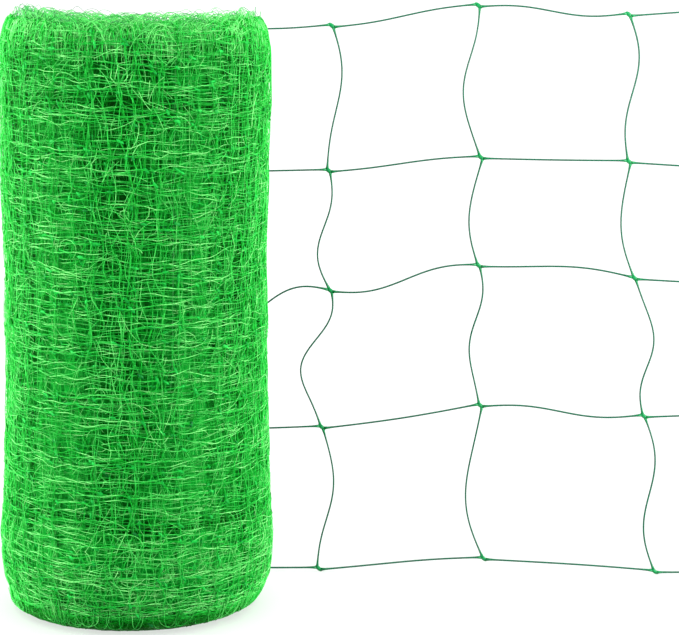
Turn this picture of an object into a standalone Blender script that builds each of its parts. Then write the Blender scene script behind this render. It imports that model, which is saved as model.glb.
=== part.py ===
"""A roll of green plastic trellis netting that stands on end, with a loose end of the net off its back.

Metres, +Z up. The roll's axis is the Z axis and its foot rests on the floor at z = 0. The loose end
leads away along +X, behind the roll as seen from -Y.
"""

import math
from collections import namedtuple

import bmesh
import bpy

ROLL_HEIGHT = 0.610
ROLL_RADIUS = 0.134
FOOT_RADIUS = 0.102
STRAND_WIDTH = 0.0014
KNOT_THICKNESS = 0.0020
CLEARANCE = 0.0003

# The wound roll

SEGMENTS_ROUND = 64
WINDING_PITCH = 0.027
WINDING_RELIEF = 0.0022
# The winding's relief fades out over these shares of the top end's radius, at its rim and at its middle.
RELIEF_RIM_FADE = 0.20
RELIEF_MIDDLE_FADE = 0.15
CROWN_DIP = 0.004
CROWN_RINGS = 15
RIM_SWAY = 0.003
RIM_SWAY_STARTS = 0.50

# The side of the roll from the floor up, with its soft foot, slight waist and softer top rim.
Section = namedtuple("Section", "height radius")
SIDE = [
    Section(0.000, FOOT_RADIUS),
    Section(0.003, 0.1126),
    Section(0.009, 0.1236),
    Section(0.020, 0.1301),
    Section(0.036, 0.1363),
    Section(0.056, 0.1384),
    Section(0.085, 0.1391),
    Section(0.120, 0.1362),
    Section(0.170, 0.1346),
    Section(0.220, 0.1327),
    Section(0.260, 0.1326),
    Section(0.300, 0.1334),
    Section(0.350, 0.1326),
    Section(0.400, 0.1329),
    Section(0.440, 0.1336),
    Section(0.480, 0.1339),
    Section(0.520, 0.1343),
    Section(0.550, ROLL_RADIUS),
    Section(0.578, 0.1339),
    Section(0.593, 0.1320),
    Section(0.603, 0.1276),
    Section(0.6085, 0.1208),
    Section(ROLL_HEIGHT, 0.1120),
]

# Soft swellings of the side: how many go round, how many go up the height, where they start, how far out.
Swelling = namedtuple("Swelling", "round_count up_count phase reach")
SWELLINGS = [
    Swelling(2, 0.7, 0.4, 0.0007),
    Swelling(5, -1.3, 2.1, 0.0006),
    Swelling(8, 2.2, 0.9, 0.0005),
    Swelling(13, -0.8, 3.7, 0.0004),
    Swelling(0, 5.5, 1.2, 0.0004),
]
SWELLINGS_FULL_AT = 0.05

# The loose end

NET_DEPTH = 0.120
NET_RIPPLE = 0.0035
RIPPLE_LENGTH = 0.33
LEAVES_ROLL_X = 0.035
SETTLES_X = 0.195
HUG_LOWEST = 0.056
HUG_HIGHEST = 0.578
FLOOR_KNOT = 0.0035
STUB_LENGTH = 0.075
RINGS_PER_STRAND = 10
TAPER_LENGTH = 0.008
TAPER_GAIN = 1.1

# The knots, a line for each row from the top edge down. The first of each lies against the roll's back.
Knot = namedtuple("Knot", "x z")
KNOTS = [
    [Knot(0.030, 0.592), Knot(0.197, 0.598), Knot(0.352, 0.621), Knot(0.512, 0.613)],
    [Knot(0.028, 0.441), Knot(0.195, 0.444), Knot(0.358, 0.460), Knot(0.517, 0.457)],
    [Knot(0.031, 0.275), Knot(0.198, 0.314), Knot(0.358, 0.343), Knot(0.527, 0.331)],
    [Knot(0.029, 0.160), Knot(0.190, 0.163), Knot(0.363, 0.189), Knot(0.542, 0.179)],
    [Knot(0.030, FLOOR_KNOT), Knot(0.188, FLOOR_KNOT), Knot(0.370, 0.017), Knot(0.560, FLOOR_KNOT)],
]

# How far a strand leaves the straight line between its knots: a bow, an S of two halves, a wave of three.
Bend = namedtuple("Bend", "bow ess wave", defaults=(0.0,))
STRAIGHT = Bend(0.0, 0.0)
# Cross strands, bent up: a line for each row, from the roll outwards.
CROSS_BENDS = [
    [Bend(-0.001, 0.001), Bend(0.000, -0.0015), Bend(-0.0015, 0.0035)],
    [STRAIGHT, Bend(0.001, -0.001), Bend(-0.0005, 0.000)],
    [Bend(-0.008, -0.016), Bend(-0.0015, -0.0055), Bend(0.0055, -0.0015)],
    [Bend(-0.001, 0.000), Bend(-0.002, 0.000), Bend(-0.0015, 0.004)],
    [Bend(-0.0005, 0.000), Bend(0.0005, -0.0005), Bend(0.002, 0.000)],
]
# How far each cut stub at the far edge climbs.
STUB_RISES = [0.006, -0.004, -0.003, 0.004, 0.000]
# Upright strands, bent away from the roll: a line for each column, from the top down.
UPRIGHT_BENDS = [
    [Bend(0.003, 0.001), Bend(-0.002, 0.002), Bend(0.003, -0.001), Bend(-0.002, 0.001)],
    [Bend(0.009, 0.004), Bend(-0.0075, 0.007), Bend(-0.020, 0.0075, 0.005), Bend(0.012, 0.0035, -0.001)],
    [Bend(-0.015, 0.0035, 0.0015), Bend(-0.011, 0.001), Bend(-0.007, 0.005, 0.0025), Bend(-0.017, 0.003)],
    [Bend(0.005, 0.0065), Bend(-0.0115, 0.001), Bend(0.012, 0.005, -0.003), Bend(0.000, 0.0085)],
]

# A knot's four corners from its middle: it leans from upper left to lower right.
Corner = namedtuple("Corner", "x z")
KNOT_CORNERS = {
    "upper_left": Corner(-0.0045, 0.0035),
    "upper_right": Corner(0.0013, 0.0013),
    "lower_right": Corner(0.0045, -0.0035),
    "lower_left": Corner(-0.0013, -0.0013),
}
# Each side of a knot, as the two corners that a strand grows from.
SIDES = {
    "left": ("upper_left", "lower_left"),
    "right": ("upper_right", "lower_right"),
    "top": ("upper_left", "upper_right"),
    "bottom": ("lower_left", "lower_right"),
}

# The way a strand bends where its bend is positive, and the side that its ports' first corner is on.
Run = namedtuple("Run", "bends_to first_side")
CROSS = Run((0.0, 1.0), (0.0, 1.0))
UPRIGHT = Run((1.0, 0.0), (-1.0, 0.0))
# The share of a strand over which its slope is read.
SLOPE_SHARE = 0.01
# The length along X over which the net's slope in plan is read.
SLOPE_LENGTH = 0.001

WOUND_GREEN = (0.024, 0.350, 0.045, 1.0)
WOUND_ROUGHNESS = 0.45
STRAND_GREEN = (0.010, 0.360, 0.090, 1.0)
STRAND_ROUGHNESS = 0.35


def clear_scene():
    for thing in list(bpy.data.objects):
        bpy.data.objects.remove(thing, do_unlink=True)


def plastic(name, colour, roughness):
    material = bpy.data.materials.new(name)
    material.use_nodes = True
    shader = material.node_tree.nodes["Principled BSDF"]
    shader.inputs["Base Color"].default_value = colour
    shader.inputs["Roughness"].default_value = roughness
    shader.inputs["Metallic"].default_value = 0.0
    return material


def make_object(name, mesh_builder, material):
    mesh = bpy.data.meshes.new(name)
    bmesh.ops.recalc_face_normals(mesh_builder, faces=mesh_builder.faces)
    mesh_builder.to_mesh(mesh)
    mesh_builder.free()
    mesh.materials.append(material)
    mesh.shade_smooth()
    thing = bpy.data.objects.new(name, mesh)
    bpy.context.scene.collection.objects.link(thing)
    return thing


def eased(share):
    """0 to 1 with level ends."""
    share = min(max(share, 0.0), 1.0)
    return share * share * (3.0 - 2.0 * share)


def side_radius(height):
    """The roll's plain radius at a height, straight between the sections."""
    for below, above in zip(SIDE, SIDE[1:]):
        if height <= above.height:
            share = (height - below.height) / (above.height - below.height)
            return below.radius + share * (above.radius - below.radius)
    return SIDE[-1].radius


def swelling(angle, height):
    """How far the side stands out here. The foot and the top rim stay round."""
    up = height / ROLL_HEIGHT
    reach = sum(
        wave.reach * math.cos(wave.round_count * angle + 2.0 * math.pi * wave.up_count * up + wave.phase)
        for wave in SWELLINGS
    )
    from_ends = min(height, ROLL_HEIGHT - height) / SWELLINGS_FULL_AT
    return reach * eased(from_ends)


def roll_radius(angle, height):
    return side_radius(height) + swelling(angle, height)


def rim_lift(angle, height):
    """The top rim is a little higher at the two sides than at the front and back."""
    share = (height - RIM_SWAY_STARTS) / (ROLL_HEIGHT - RIM_SWAY_STARTS)
    return RIM_SWAY * math.cos(2.0 * angle) * eased(share)


def crown_height(angle, radius):
    """The top end: it dips to the middle, and the turns of the winding stand up as one spiral."""
    rim = SIDE[-1].radius
    share = radius / rim
    sway = RIM_SWAY * math.cos(2.0 * angle) * share * share
    turn = math.cos(2.0 * math.pi * radius / WINDING_PITCH - angle)
    fade = eased((1.0 - share) / RELIEF_RIM_FADE) * eased(share / RELIEF_MIDDLE_FADE)
    return ROLL_HEIGHT - CROWN_DIP * (1.0 - share * share) + sway + WINDING_RELIEF * turn * fade


def side_place(angle, height):
    """Radius and height of a point of the side."""
    return roll_radius(angle, height), height + rim_lift(angle, height)


def crown_place(angle, radius):
    """Radius and height of a point of the top end."""
    return radius, crown_height(angle, radius)


def ring_of_points(builder, place, level):
    """One ring of the roll, where place gives the radius and height at an angle for this level."""
    points = []
    for step in range(SEGMENTS_ROUND):
        angle = 2.0 * math.pi * step / SEGMENTS_ROUND
        radius, height = place(angle, level)
        points.append(builder.verts.new((radius * math.cos(angle), radius * math.sin(angle), height)))
    return points


def join_rings(builder, first, second):
    count = len(first)
    for here in range(count):
        after = (here + 1) % count
        builder.faces.new((first[here], first[after], second[after], second[here]))


def make_net_roll(material):
    builder = bmesh.new()
    rings = [ring_of_points(builder, side_place, section.height) for section in SIDE]
    rim = SIDE[-1].radius
    for step in range(1, CROWN_RINGS):
        rings.append(ring_of_points(builder, crown_place, rim * (1.0 - step / CROWN_RINGS)))
    for lower, upper in zip(rings, rings[1:]):
        join_rings(builder, lower, upper)
    foot = builder.faces.new(rings[0])
    for edge in foot.edges:
        edge.smooth = False
    middle = builder.verts.new((0.0, 0.0, ROLL_HEIGHT - CROWN_DIP))
    for here in range(SEGMENTS_ROUND):
        builder.faces.new((rings[-1][here], rings[-1][(here + 1) % SEGMENTS_ROUND], middle))
    return make_object("net_roll", builder, material)


def hugged_radius(x, height):
    """How far from the roll's axis the loose end lies on its back. It hangs straight past the rims."""
    height = min(max(height, HUG_LOWEST), HUG_HIGHEST)
    angle = math.acos(x / ROLL_RADIUS)
    return roll_radius(angle, height) + CLEARANCE + KNOT_THICKNESS / 2.0


def net_depth(x, height):
    """The loose end's place along Y: on the roll's back, off it at a tangent, then nearly flat."""
    held_x = min(x, LEAVES_ROLL_X)
    radius = hugged_radius(held_x, height)
    start = math.sqrt(radius * radius - held_x * held_x)
    if x <= LEAVES_ROLL_X:
        return start
    slope = -LEAVES_ROLL_X / start
    span = SETTLES_X - LEAVES_ROLL_X
    share = (x - LEAVES_ROLL_X) / span
    if share < 1.0:
        leaving = span * slope * share * (1.0 - share) * (1.0 - share)
        return start + (NET_DEPTH - start) * eased(share) + leaving
    across = 2.0 * math.pi * (x - SETTLES_X) / RIPPLE_LENGTH
    return NET_DEPTH + NET_RIPPLE * math.sin(across) * math.cos(2.0 * math.pi * height / ROLL_HEIGHT)


def net_point(x, height, off):
    """A point of the loose end, off its middle surface by the given distance."""
    rise = net_depth(x + SLOPE_LENGTH, height) - net_depth(x - SLOPE_LENGTH, height)
    slope = rise / (2.0 * SLOPE_LENGTH)
    length = math.hypot(1.0, slope)
    return (x - off * slope / length, net_depth(x, height) + off / length, height)


def make_knot(builder, knot, on_floor):
    """A knot's eight points by corner, each corner with its front and back point."""
    half = KNOT_THICKNESS / 2.0
    corners = {}
    for name, corner in KNOT_CORNERS.items():
        drop = corner.z
        if on_floor and name == "lower_left":
            drop = KNOT_CORNERS["lower_right"].z
        corners[name] = [
            builder.verts.new(net_point(knot.x + corner.x, knot.z + drop, side * half)) for side in (-1, 1)
        ]
    for face in (0, 1):
        builder.faces.new([pair[face] for pair in corners.values()])
    return corners


def port(corners, side):
    """The four points of a knot's side, in the order that every ring of a strand keeps."""
    first, second = (corners[name] for name in SIDES[side])
    return [first[0], first[1], second[1], second[0]]


def middle_of(ring):
    return (
        sum(point.co.x for point in ring) / len(ring),
        sum(point.co.z for point in ring) / len(ring),
    )


def half_width(share, length, free_end):
    """Half a strand's width: it thins out from each knot that it grows from."""
    to_knot = share * length
    if not free_end:
        to_knot = min(to_knot, (1.0 - share) * length)
    return STRAND_WIDTH / 2.0 * (1.0 + TAPER_GAIN * math.exp(-to_knot / TAPER_LENGTH))


def square_to(along, first_side):
    """The unit way across a strand, to the side that its ports' first corner is on."""
    length = math.hypot(*along)
    across = (along[1] / length, -along[0] / length)
    if across[0] * first_side[0] + across[1] * first_side[1] < 0.0:
        across = (-across[0], -across[1])
    return across


def make_strand(builder, first_ring, end, last_ring, bend, run):
    """A four-sided strand from one knot's side to another's, or to a cut end where last_ring is None."""
    start = middle_of(first_ring)
    free_end = last_ring is None
    length = math.dist(start, end)

    def centre(share):
        half_turns = math.pi * share
        off = (
            bend.bow * math.sin(half_turns)
            + bend.ess * math.sin(2.0 * half_turns)
            + bend.wave * math.sin(3.0 * half_turns)
        )
        return (
            start[0] + share * (end[0] - start[0]) + off * run.bends_to[0],
            start[1] + share * (end[1] - start[1]) + off * run.bends_to[1],
        )

    near_knot = TAPER_LENGTH / length
    last_share = 1.0 if free_end else 1.0 - near_knot
    rings = [first_ring]
    for step in range(RINGS_PER_STRAND):
        share = near_knot + (last_share - near_knot) * step / (RINGS_PER_STRAND - 1)
        here = centre(share)
        before = centre(share - SLOPE_SHARE)
        after = centre(share + SLOPE_SHARE)
        across = square_to((after[0] - before[0], after[1] - before[1]), run.first_side)
        half = half_width(share, length, free_end)
        ring = []
        for way, face in ((half, -half), (half, half), (-half, half), (-half, -half)):
            spot = net_point(here[0] + way * across[0], here[1] + way * across[1], face)
            ring.append(builder.verts.new(spot))
        rings.append(ring)
    if free_end:
        builder.faces.new(rings[-1])
    else:
        rings.append(last_ring)
    for first, second in zip(rings, rings[1:]):
        join_rings(builder, first, second)


def make_loose_end(material):
    builder = bmesh.new()
    rows = len(KNOTS)
    columns = len(KNOTS[0])
    knots = [[make_knot(builder, knot, knot.z == FLOOR_KNOT) for knot in row] for row in KNOTS]
    for row in range(rows):
        for column in range(columns):
            here = knots[row][column]
            leaving = port(here, "right")
            if column + 1 < columns:
                arriving = port(knots[row][column + 1], "left")
                bend = CROSS_BENDS[row][column]
                make_strand(builder, leaving, middle_of(arriving), arriving, bend, CROSS)
            else:
                start = middle_of(leaving)
                end = (start[0] + STUB_LENGTH, start[1] + STUB_RISES[row])
                make_strand(builder, leaving, end, None, STRAIGHT, CROSS)
            if column == 0:
                builder.faces.new(port(here, "left"))
            if row == 0:
                builder.faces.new(port(here, "top"))
            leaving = port(here, "bottom")
            if row + 1 < rows:
                arriving = port(knots[row + 1][column], "top")
                bend = UPRIGHT_BENDS[column][row]
                make_strand(builder, leaving, middle_of(arriving), arriving, bend, UPRIGHT)
            else:
                builder.faces.new(leaving)
    return make_object("loose_end", builder, material)


def main():
    clear_scene()
    make_net_roll(plastic("wound_net", WOUND_GREEN, WOUND_ROUGHNESS))
    make_loose_end(plastic("net_strand", STRAND_GREEN, STRAND_ROUGHNESS))


main()
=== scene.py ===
import math
from collections import namedtuple

import bpy
import numpy as np
from mathutils import Matrix, Vector
from mathutils.bvhtree import BVHTree


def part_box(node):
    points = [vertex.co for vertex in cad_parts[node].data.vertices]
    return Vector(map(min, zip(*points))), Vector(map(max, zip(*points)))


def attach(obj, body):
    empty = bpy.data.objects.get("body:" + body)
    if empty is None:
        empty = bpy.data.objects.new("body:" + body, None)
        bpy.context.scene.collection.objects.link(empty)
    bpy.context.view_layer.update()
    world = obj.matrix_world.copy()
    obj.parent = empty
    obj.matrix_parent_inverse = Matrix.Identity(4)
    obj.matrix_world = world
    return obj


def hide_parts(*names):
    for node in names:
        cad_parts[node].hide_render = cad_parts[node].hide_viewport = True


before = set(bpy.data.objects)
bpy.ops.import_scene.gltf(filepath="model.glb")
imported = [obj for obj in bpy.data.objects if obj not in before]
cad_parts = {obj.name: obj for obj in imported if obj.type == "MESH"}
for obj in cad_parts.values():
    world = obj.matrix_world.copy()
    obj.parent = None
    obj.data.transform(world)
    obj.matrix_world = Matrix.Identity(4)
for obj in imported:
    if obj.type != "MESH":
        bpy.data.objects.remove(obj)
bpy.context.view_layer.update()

# Chance starts from this number in every run, so the strands are always the same.
SEED = 20
rng = np.random.default_rng(SEED)

FULL_TURN = 2.0 * math.pi

# The roll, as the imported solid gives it

ROLL_RADIUS = 0.134
ROLL_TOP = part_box("net_roll")[1].z
ANGLE_STEPS = 128
HEIGHT_STEPS = 300
RADIUS_STEPS = 96
# How far out the rays to the roll's side start, and how far off the floor those to its ends
SIDE_RAY_START = 0.4
END_RAY_START = 1.0
UP = Vector((0.0, 0.0, 1.0))
DOWN = Vector((0.0, 0.0, -1.0))
UPWARD = np.array(UP)


def even_angles(count):
    """Angles at even steps all the way round."""
    return FULL_TURN * np.arange(count) / count


class Lookup:
    """Values on an even grid over an angle, which wraps round, and a coordinate from nought up."""

    def __init__(self, values, high):
        self.values = np.vstack([values, values[:1]])
        self.high = high

    def __call__(self, angle, coordinate):
        columns = self.values.shape[0] - 1
        rows = self.values.shape[1] - 1
        u = (np.asarray(angle) / FULL_TURN) % 1.0 * columns
        v = np.clip(np.asarray(coordinate) / self.high, 0.0, 1.0) * rows
        i = np.minimum(u.astype(int), columns - 1)
        j = np.minimum(v.astype(int), rows - 1)
        fu = u - i
        fv = v - j
        table = self.values
        near = table[i, j] * (1 - fu) + table[i + 1, j] * fu
        far = table[i, j + 1] * (1 - fu) + table[i + 1, j + 1] * fu
        return near * (1 - fv) + far * fv


def read_roll():
    """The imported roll's side radius, top height and bottom height, read with rays."""
    tree = BVHTree.FromObject(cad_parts["net_roll"], bpy.context.evaluated_depsgraph_get())
    heights = np.linspace(0.0, ROLL_TOP, HEIGHT_STEPS)
    radii = np.linspace(0.0, ROLL_RADIUS, RADIUS_STEPS)
    side = np.zeros((ANGLE_STEPS, HEIGHT_STEPS))
    top = np.zeros((ANGLE_STEPS, RADIUS_STEPS))
    bottom = np.zeros((ANGLE_STEPS, RADIUS_STEPS))
    for i, angle in enumerate(even_angles(ANGLE_STEPS)):
        out = Vector((math.cos(angle), math.sin(angle), 0.0))
        for j, height in enumerate(heights):
            hit = tree.ray_cast(out * SIDE_RAY_START + UP * height, -out)[0]
            side[i, j] = math.hypot(hit.x, hit.y) if hit else side[i, j - 1]
        for j, radius in enumerate(radii):
            above = tree.ray_cast(out * radius + UP * END_RAY_START, DOWN)[0]
            below = tree.ray_cast(out * radius + DOWN * END_RAY_START, UP)[0]
            top[i, j] = above.z if above else top[i, j - 1]
            bottom[i, j] = below.z if below else bottom[i, j - 1]
    return Lookup(side, ROLL_TOP), Lookup(top, ROLL_RADIUS), Lookup(bottom, ROLL_RADIUS)


side_radius, top_height, bottom_height = read_roll()


# Meshes of many closed bits

# The share of its cell that a bit leaves free at each side of the cell
CELL_MARGIN = 0.1
# Lengths under this count as nought.
TINY = 1e-12
WOUND_SIDES = 3


def new_object(name, data):
    thing = bpy.data.objects.new(name, data)
    bpy.context.scene.collection.objects.link(thing)
    return thing


class Pile:
    """Closed bits of mesh gathered into one. Each bit has a cell of the map to itself."""

    def __init__(self):
        self.points = []
        self.tones = []
        self.blueness = []
        self.faces = {3: [], 4: []}
        self.count = 0
        self.cells = 0

    def add(self, points, tones, blocks, cells, blueness=0.0):
        """Each block is corners (n, k), each face's bit (n,) and its spots in that bit's cell (n, k, 2)."""
        for corners, bits, spots in blocks:
            self.faces[corners.shape[1]].append((corners + self.count, bits + self.cells, spots))
        self.points.append(points.reshape(-1, 3))
        self.tones.append(tones.ravel())
        self.blueness.append(np.full(len(self.points[-1]), blueness))
        self.count += len(self.points[-1])
        self.cells += cells

    def map_places(self, blocks):
        """Where every face's corners lie in the map, whose cells are as many each way."""
        grid = math.ceil(math.sqrt(self.cells))
        places = []
        for _, bits, spots in blocks:
            cell = np.stack([bits % grid, bits // grid], axis=-1)[:, None, :]
            places.append(((cell + CELL_MARGIN + (1.0 - 2.0 * CELL_MARGIN) * spots) / grid).ravel())
        return np.concatenate(places)

    def build(self, name, material, slot="wound_net", node="net_roll"):
        """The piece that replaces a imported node, alone or with others."""
        points = np.concatenate(self.points)
        blocks = self.faces[3] + self.faces[4]
        sizes = np.concatenate([np.full(len(corners), corners.shape[1]) for corners, _, _ in blocks])
        corners = np.concatenate([corners.ravel() for corners, _, _ in blocks])
        starts = np.concatenate([[0], np.cumsum(sizes)[:-1]])
        mesh = bpy.data.meshes.new(name)
        mesh.vertices.add(len(points))
        mesh.vertices.foreach_set("co", points.astype(np.float32).ravel())
        mesh.loops.add(len(corners))
        mesh.loops.foreach_set("vertex_index", corners.astype(np.int32))
        mesh.polygons.add(len(sizes))
        mesh.polygons.foreach_set("loop_start", starts.astype(np.int32))
        mesh.update(calc_edges=True)
        mesh.shade_smooth()
        places = self.map_places(blocks)
        mesh.uv_layers.new(name="OFBake").data.foreach_set("uv", places.astype(np.float32))
        for label, parts in (("tone", self.tones), ("blueness", self.blueness)):
            values = mesh.attributes.new(label, "FLOAT", "POINT")
            values.data.foreach_set("value", np.concatenate(parts).astype(np.float32))
        mesh.materials.append(material)
        piece = new_object(name, mesh)
        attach(piece, "root")
        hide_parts(node)
        return piece


def unit(vectors):
    return vectors / np.maximum(np.linalg.norm(vectors, axis=-1, keepdims=True), TINY)


def tube_rings(paths, radii, outward, sides):
    """The points round every stop of every path."""
    along = unit(np.gradient(paths, axis=1))
    across = unit(np.cross(along, outward))
    out = np.cross(across, along)
    turn = even_angles(sides)
    return paths[:, :, None, :] + radii[:, :, None, None] * (
        np.cos(turn)[:, None] * out[:, :, None, :] + np.sin(turn)[:, None] * across[:, :, None, :]
    )


def tube_blocks(count, stops, sides):
    """The faces of the tubes' walls and of their two ends. The map's u runs along a tube, its v round it."""
    index = np.arange(count * stops * sides).reshape(count, stops, sides)
    after = np.roll(index, -1, axis=2)
    walls = np.stack([index[:, :-1], index[:, 1:], after[:, 1:], after[:, :-1]], axis=-1)
    share = np.arange(stops - 1) / (stops - 1)
    next_share = share + 1.0 / (stops - 1)
    u = np.stack([share, next_share, next_share, share], axis=-1)[:, None, :]
    v = (np.arange(sides)[:, None] + np.array([0, 0, 1, 1]))[None] / sides
    spots = np.stack(np.broadcast_arrays(u, v), axis=-1)
    spots = np.broadcast_to(spots, (count,) + spots.shape).reshape(-1, 4, 2)
    bits = np.broadcast_to(np.arange(count)[:, None, None], walls.shape[:3])
    blocks = [(walls.reshape(-1, 4), bits.ravel(), spots)]
    half_step = 0.5 * share[1]
    for end, order, edge_u, inner_u in ((0, 1, 0.0, half_step), (-1, -1, 1.0, 1.0 - half_step)):
        ring = index[:, end, ::order]
        spots = np.array([[edge_u, 0.0], [inner_u, 0.5], [edge_u, 1.0]])
        for step in range(1, sides - 1):
            corners = np.stack([ring[:, 0], ring[:, step], ring[:, step + 1]], axis=-1)
            blocks.append((corners, np.arange(count), np.broadcast_to(spots, (count, 3, 2))))
    return blocks


def add_tubes(pile, paths, radii, outward, tones, sides=WOUND_SIDES):
    """Closed tubes along paths (n, stops, 3), with radii and tones that fit (n, stops)."""
    count, stops = paths.shape[:2]
    radii = np.broadcast_to(radii, (count, stops))
    tones = np.broadcast_to(tones, (count, stops))
    rings = tube_rings(paths, radii, outward, sides)
    pile.add(rings, np.repeat(tones[:, :, None], sides, axis=2), tube_blocks(count, stops, sides), count)


def ball_points(rings, segments):
    """A unit ball's points: its top, then ring by ring, then its bottom."""
    points = [(0.0, 0.0, 1.0)]
    for ring in range(1, rings):
        tilt = math.pi * ring / rings
        for turn in even_angles(segments):
            points.append((math.sin(tilt) * math.cos(turn), math.sin(tilt) * math.sin(turn), math.cos(tilt)))
    points.append((0.0, 0.0, -1.0))
    return np.array(points)


def ball_blocks(rings, segments):
    """The corners of a ball's caps and of its walls, with their spots in the map."""
    bottom = 1 + (rings - 1) * segments
    lowest_ring = bottom - segments
    near_top = 1.0 / rings
    near_bottom = 1.0 - 1.0 / rings
    caps = []
    walls = []
    for segment in range(segments):
        after = (segment + 1) % segments
        here = segment / segments
        there = (segment + 1) / segments
        middle = 0.5 * (here + there)
        corners = (0, 1 + segment, 1 + after)
        caps.append((corners, ((middle, 0.0), (here, near_top), (there, near_top))))
        corners = (bottom, lowest_ring + after, lowest_ring + segment)
        caps.append((corners, ((middle, 1.0), (there, near_bottom), (here, near_bottom))))
        for ring in range(rings - 2):
            first = 1 + ring * segments
            second = first + segments
            v = (ring + 1) / rings
            next_v = (ring + 2) / rings
            corners = (first + segment, second + segment, second + after, first + after)
            walls.append((corners, ((here, v), (here, next_v), (there, next_v), (there, v))))
    return [[np.array(part) for part in zip(*faces)] for faces in (caps, walls)]


def add_knots(pile, centre, out, along, sizes, tones, rings, segments, blueness=0.0):
    """Flattened lozenges. sizes (n, 3) are their half sizes along, across and out."""
    shape = ball_points(rings, segments)
    across = unit(np.cross(out, along))
    points = (
        centre[:, None, :]
        + shape[None, :, :1] * sizes[:, None, :1] * along[:, None, :]
        + shape[None, :, 1:2] * sizes[:, None, 1:2] * across[:, None, :]
        + shape[None, :, 2:] * sizes[:, None, 2:] * out[:, None, :]
    )
    count = len(centre)
    first = len(shape) * np.arange(count)[:, None, None]
    blocks = []
    for corners, spots in ball_blocks(rings, segments):
        every_corner = (corners[None] + first).reshape(-1, corners.shape[1])
        every_spot = np.tile(spots, (count, 1, 1))
        blocks.append((every_corner, np.repeat(np.arange(count), len(corners)), every_spot))
    pile.add(points, np.repeat(tones, len(shape)), blocks, count, blueness)


# Places in the winding

# Where on the top end the rim's height is read
CREST_RADIUS = 0.118
SLOPE_STEP = 0.003
STEEPEST = 1.6
LEAST_HEIGHT = 0.0012
FOOT_LEAN = 0.010
FOOT_LEAN_HEIGHT = 0.025
# Strands stand at most this far proud of the outline, and less within the reach of a rim.
WORST_PROUD = 0.0022
RIM_REACH = 0.040


def radial(angle):
    return np.stack([np.cos(angle), np.sin(angle), np.zeros_like(angle)], axis=-1)


def round_axis(radius, angle, height):
    return np.stack([radius * np.cos(angle), radius * np.sin(angle), height], axis=-1)


def crest(angle):
    """The height of the roll's top rim."""
    return top_height(angle, CREST_RADIUS)


def foot_lean(angle, height):
    """How far the winding's foot spreads, on the side away from the loose end."""
    return FOOT_LEAN * np.maximum(-np.cos(angle), 0.0) * np.clip(1.0 - height / FOOT_LEAN_HEIGHT, 0.0, 1.0)


def in_winding(angle, height, depth):
    """A point at a depth under the roll's outline, square to it."""
    rise = side_radius(angle, height + SLOPE_STEP) - side_radius(angle, height - SLOPE_STEP)
    slope = np.clip(rise / (2.0 * SLOPE_STEP), -STEEPEST, STEEPEST)
    to_rim = np.minimum(height, crest(angle) - height)
    depth = np.maximum(depth, -WORST_PROUD * np.clip(to_rim / RIM_REACH, 0.0, 1.0))
    inward = depth / np.sqrt(1.0 + slope * slope)
    radius = side_radius(angle, height) + foot_lean(angle, height) - inward
    return round_axis(radius, angle, np.maximum(height + slope * inward, LEAST_HEIGHT))


# How loose the winding is taken to be, and the painted light and shade that follow from it

# Weights of the painted light: lighter in bands round the roll, low down, at the bulge and at the rim
BANDS_ROUND = 6
BAND_LIGHT = 1.0
SAG_LIGHT = 1.8
BULGE_LIGHT = 1.7
BULGE_HEIGHT = 0.035
BULGE_REACH = 0.036
RIM_LIGHT = 2.4
RIM_DEPTH = 0.019
# Painted shade of a crease just above the bulge, and of a slighter one near the top. The strands are not
# drawn in there.
Crease = namedtuple("Crease", "height pull")
PAINTED_CREASES = [Crease(0.115, 4.0), Crease(0.525, 2.5)]
CREASE_REACH = 0.0042
CREASE_WANDER = 0.003

# Painted shade: how deep in the winding the strands' tone falls to its least
DEPTH_SHADE_REACH = 0.0115
LEAST_LIGHT = 0.1
# How much more slowly the painted shade deepens with depth at a loose place, and how much painted light it
# gets all through
DEPTH_EASE = 0.42
SLACK_LIGHT = 0.06
# Painted shade over the floor: the height it reaches, its darkest share and how sharply it ends
FOOT_SHADE_HEIGHT = 0.0235
FOOT_SHADE = 0.02
FOOT_POWER = 4.0


def painted_slack_light(angle, height):
    """Painted light by how loose the outer turns are taken to be: more in bands, low down, at the bulge and
    the rim, less in the painted creases.
    """
    bands = np.cos(BANDS_ROUND * angle)
    bulge = np.exp(-(((height - BULGE_HEIGHT) / BULGE_REACH) ** 2))
    rim = np.exp(-((np.maximum(crest(angle) - height, 0.0) / RIM_DEPTH) ** 2))
    loose = BAND_LIGHT * bands + BULGE_LIGHT * bulge + RIM_LIGHT * rim
    loose = loose + SAG_LIGHT * (0.5 - height / ROLL_TOP)
    for crease in PAINTED_CREASES:
        off = height - crease.height - CREASE_WANDER * np.sin(2.0 * angle)
        loose = loose - crease.pull * np.exp(-((off / CREASE_REACH) ** 2))
    return loose


def softened(light, least):
    """A light from 0 to 1, spread from its least up to 1."""
    return least + (1.0 - least) * light


def foot_light(height):
    """Painted shade over the floor: how much light is taken to reach the winding where it turns in over the
    floor.
    """
    return softened(np.clip(height / FOOT_SHADE_HEIGHT, 0.0, 1.0) ** FOOT_POWER, FOOT_SHADE)


def painted_shading(angle, height, depth):
    """Painted shade and light in the strands' tone: darker deep in the winding, where it is tight and under
    the roll's foot, lighter where it is loose.
    """
    loose = painted_slack_light(angle, height)
    deep = 1.0 - np.maximum(depth, 0.0) / DEPTH_SHADE_REACH * (1.0 - DEPTH_EASE * loose)
    return np.clip(deep, LEAST_LIGHT, 1.0) * foot_light(height) * (1.0 + SLACK_LIGHT * loose)


# Wandering lines

def wave_sizes(first, power, count):
    """The sizes of a wandering line's waves, from the longest wave to the shortest."""
    return first / (1.0 + np.arange(count)) ** power


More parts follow.
